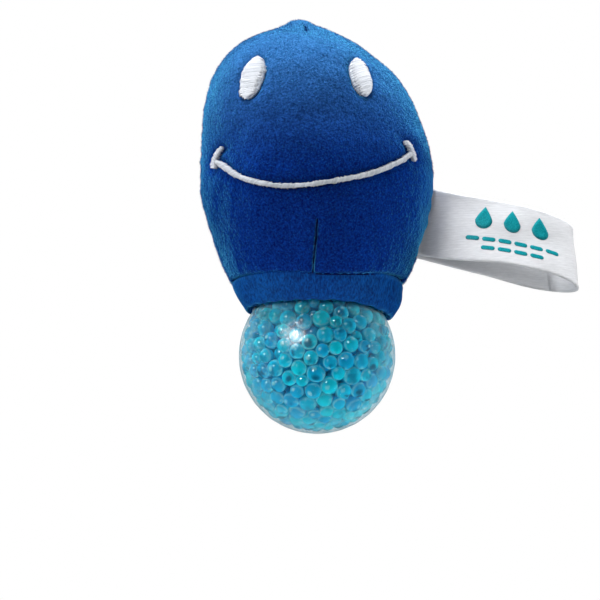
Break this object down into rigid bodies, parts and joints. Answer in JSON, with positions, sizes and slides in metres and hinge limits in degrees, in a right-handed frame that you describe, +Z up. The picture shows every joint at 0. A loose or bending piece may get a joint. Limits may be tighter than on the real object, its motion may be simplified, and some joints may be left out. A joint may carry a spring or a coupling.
{
  "type": "plush gel-bead stress ball",
  "caption": "Plush stress ball with a stitched smile, squeezed so that its clear ball of gel beads bulges out of the cuffed mouth; satin loop tag at the side seam.",
  "frame": {"origin": "middle of the plush body on the ball's own axis, where a hand closes round it, 42 mm above the mouth of the cuff", "axes": "+Z up the ball's axis from the mouth to the pinched tip, face towards -Y, loop tag towards +X"},
  "size_m": [0.115, 0.0697, 0.1273],
  "materials": {
    "plush": "matte",
    "cuff_knit": "matte",
    "sewing_thread": "satin",
    "elastic": "matte",
    "embroidery": "satin",
    "lining": "satin",
    "fibre": "matte",
    "clear_rubber": "gloss",
    "plug_rubber": "satin",
    "gel_bead": "gloss",
    "gel_bead_core": "gloss",
    "satin": "satin",
    "tag_ink": "matte",
    "label_ink": "matte"
  },
  "bodies": {
    "cover": {"front_panel": "plush", "back_panel": "plush", "side_seam_thread": "sewing_thread", "front_dart_thread": "sewing_thread", "back_dart_thread": "sewing_thread", "crown_dart_thread": "sewing_thread", "cuff_band": "cuff_knit", "cuff_elastic": "elastic", "cuff_seam_thread": "sewing_thread", "left_eye": "embroidery", "right_eye": "embroidery", "smile_line": "embroidery", "left_cheek_tick": "embroidery", "right_cheek_tick": "embroidery", "inner_pouch": "lining", "fibre_fill": "fibre"},
    "gel_ball": {"ball_skin": "clear_rubber", "ball_plug": "plug_rubber"},
    "beads": {"bead_layer": "gel_bead", "bead_core": "gel_bead_core"},
    "tag": {"loop_tag": "satin", "tag_print": "tag_ink"},
    "small_label": {"care_label": "satin", "care_print": "label_ink"}
  },
  "joints": [
    {"name": "ball_slide", "type": "slide", "parent": "cover", "child": "gel_ball", "axis": [0, 0, 1], "range_m": [0, 0.034], "deforming": ["cuff_band", "cuff_elastic", "cuff_seam_thread"]},
    {"name": "bead_swirl", "type": "hinge", "parent": "gel_ball", "child": "beads", "pos_m": [0, 0, -0.0553], "axis": [0, 0, 1], "continuous": true},
    {"name": "tag_swing", "type": "hinge", "parent": "cover", "child": "tag", "pos_m": [0.0335, 0, -0.0141], "axis": [0.225, 0, 0.9744], "range_deg": [-54, 54], "stiffness_Nm_per_rad": 0.0002},
    {"name": "label_swing", "type": "hinge", "parent": "tag", "child": "small_label", "pos_m": [0.0335, 0, -0.0141], "axis": [0.225, 0, 0.9744], "range_deg": [-8, 1.5], "stiffness_Nm_per_rad": 0.00004}
  ]
}
